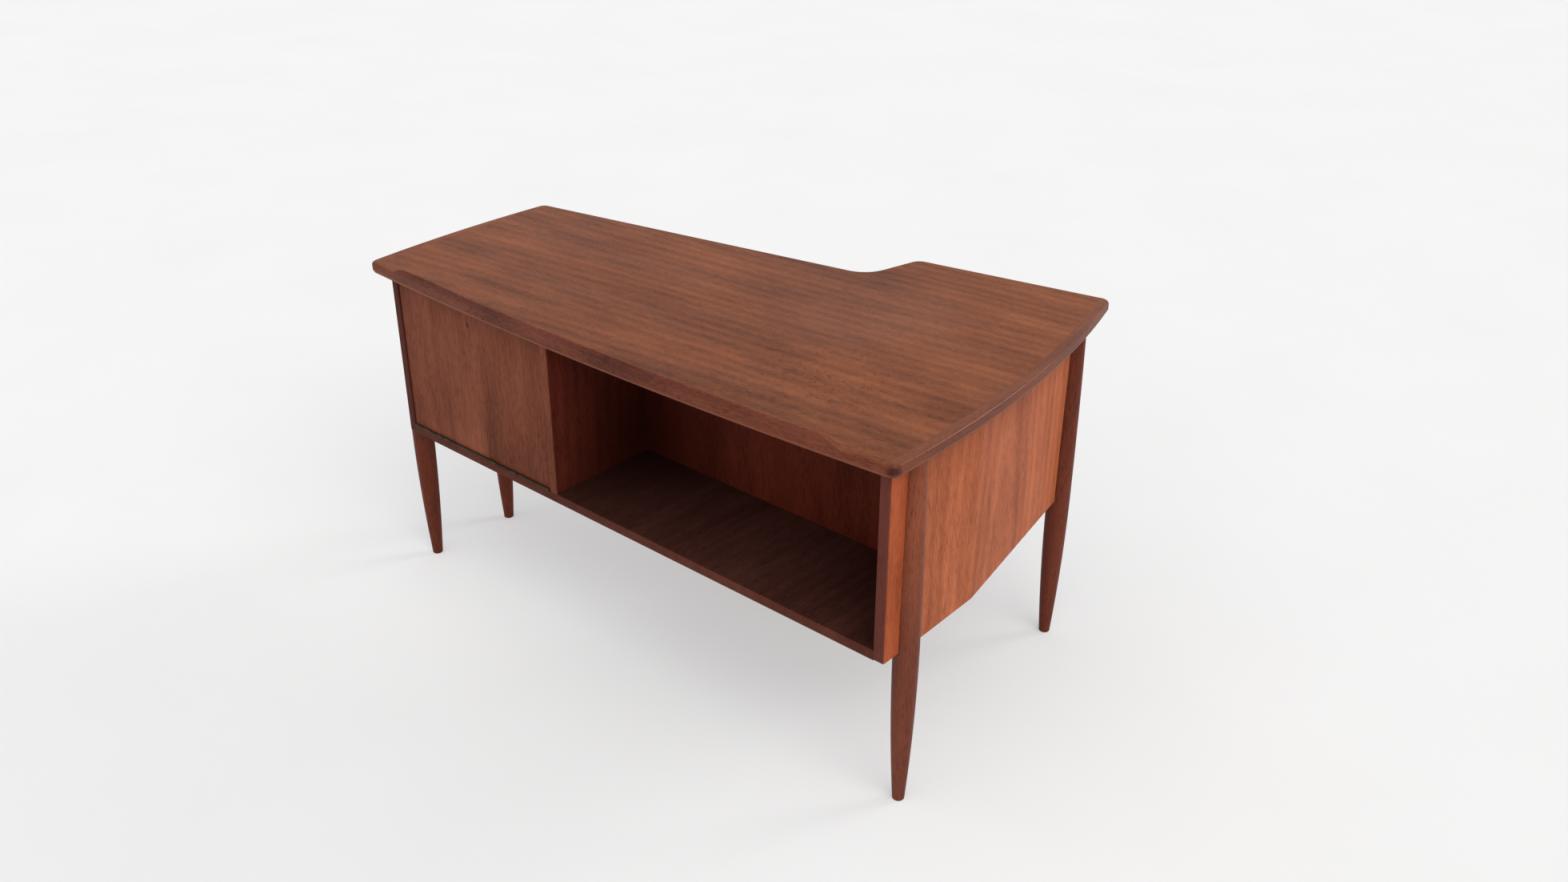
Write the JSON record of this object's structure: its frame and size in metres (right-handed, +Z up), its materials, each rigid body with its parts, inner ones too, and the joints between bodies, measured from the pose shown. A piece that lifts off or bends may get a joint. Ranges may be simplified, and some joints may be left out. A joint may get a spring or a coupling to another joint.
{
  "type": "writing desk",
  "caption": "Free-standing teak writing desk with an L-shaped bowed top, a drawer pedestal, a lockable fall-flap cupboard and an open bookshelf on its visitor side, on round tapered legs.",
  "frame": {"origin": "on the floor under the middle of the desk's bounding box", "axes": "+Z up, the user sits on the -Y side, +Y is the visitor side with the flap and the bookshelf, +X towards the flap, the drawer wing at -X"},
  "size_m": [1.3696, 0.8434, 0.734],
  "materials": {
    "teak_top": "oiled teak veneer",
    "teak_lipping": "oiled solid teak",
    "teak_leg": "oiled solid teak",
    "teak_strip": "oiled solid teak",
    "teak_side": "oiled teak veneer",
    "teak_flap": "oiled teak veneer",
    "teak_front": "oiled teak veneer",
    "teak_inside": "oiled teak veneer",
    "drawer_wood": "plain oak",
    "runner_wood": "plain beech",
    "hinge_brass": "dulled brass",
    "lock_brass": "dulled brass",
    "nickel_steel": "nickel plated steel",
    "screw_steel": "plain steel"
  },
  "bodies": {
    "desk": {"top_panel": "teak_top", "lipping_back": "teak_lipping", "lipping_right": "teak_lipping", "lipping_wing_front": "teak_lipping", "lipping_notch": "teak_lipping", "lipping_front": "teak_lipping", "lipping_left": "teak_lipping", "left_side": "teak_side", "left_edge_strip": "teak_strip", "right_side": "teak_side", "right_edge_strip": "teak_strip", "bottom_board": "teak_inside", "carcass_top": "teak_inside", "divider": "teak_inside", "knee_panel": "teak_inside", "pedestal_outer_side": "teak_side", "pedestal_inner_side": "teak_side", "pedestal_bottom": "teak_inside", "pedestal_top": "teak_inside", "leg_back_left": "teak_leg", "leg_front_left": "teak_leg", "leg_back_right": "teak_leg", "leg_front_right": "teak_leg", "leg_screws": "screw_steel", "runners_outer": "runner_wood", "runners_inner": "runner_wood", "hinge_fixed_leaf": "hinge_brass", "hinge_pin": "hinge_brass", "hinge_fixed_screws": "screw_steel", "strike_plate": "nickel_steel", "stay_wall_plate": "nickel_steel", "stay_wall_screws": "screw_steel", "top_screws": "screw_steel"},
    "bar_flap": {"bar_flap": "teak_flap", "hinge_flap_leaf": "hinge_brass", "hinge_flap_screws": "screw_steel", "lock_case": "lock_brass", "stay_flap_bracket": "nickel_steel", "stay_flap_screws": "screw_steel"},
    "lock_bolt": {"lock_bolt": "nickel_steel"},
    "stay_rod": {"stay_rod": "nickel_steel"},
    "stay_swivel": {"stay_swivel": "nickel_steel"},
    "drawer_1": {"drawer_1_front": "teak_front", "drawer_1_outer_side": "drawer_wood", "drawer_1_inner_side": "drawer_wood", "drawer_1_back": "drawer_wood", "drawer_1_bottom": "drawer_wood", "drawer_1_pull": "teak_front"},
    "drawer_2": {"drawer_2_front": "teak_front", "drawer_2_outer_side": "drawer_wood", "drawer_2_inner_side": "drawer_wood", "drawer_2_back": "drawer_wood", "drawer_2_bottom": "drawer_wood", "drawer_2_pull": "teak_front"},
    "drawer_3": {"drawer_3_front": "teak_front", "drawer_3_outer_side": "drawer_wood", "drawer_3_inner_side": "drawer_wood", "drawer_3_back": "drawer_wood", "drawer_3_bottom": "drawer_wood", "drawer_3_pull": "teak_front"}
  },
  "joints": [
    {"name": "bar_flap_hinge", "type": "hinge", "parent": "desk", "child": "bar_flap", "pos_m": [0.3917, 0.37173, 0.3495], "axis": [-1, 0, 0], "range_deg": [0, 90]},
    {"name": "lock_bolt_slide", "type": "slide", "parent": "bar_flap", "child": "lock_bolt", "axis": [0, 0, 1], "range_m": [0, 0.008]},
    {"name": "stay_rod_pivot", "type": "hinge", "parent": "bar_flap", "child": "stay_rod", "pos_m": [0.6007, 0.34073, 0.46505], "axis": [-1, 0, 0], "range_deg": [-45, 0]},
    {"name": "stay_swivel_turn", "type": "hinge", "parent": "desk", "child": "stay_swivel", "pos_m": [0.6007, 0.30308, 0.44748], "axis": [-1, 0, 0], "range_deg": [0, 45]},
    {"name": "drawer_1_slide", "type": "slide", "parent": "desk", "child": "drawer_1", "axis": [0.1616, -0.9869, 0], "range_m": [0, 0.3]},
    {"name": "drawer_2_slide", "type": "slide", "parent": "desk", "child": "drawer_2", "axis": [0.1616, -0.9869, 0], "range_m": [0, 0.3]},
    {"name": "drawer_3_slide", "type": "slide", "parent": "desk", "child": "drawer_3", "axis": [0.1616, -0.9869, 0], "range_m": [0, 0.3]}
  ],
  "couplings": [
    {"joint": "stay_rod_pivot", "follows": "bar_flap_hinge", "ratio": -0.5},
    {"joint": "stay_swivel_turn", "follows": "bar_flap_hinge", "ratio": 0.5}
  ]
}
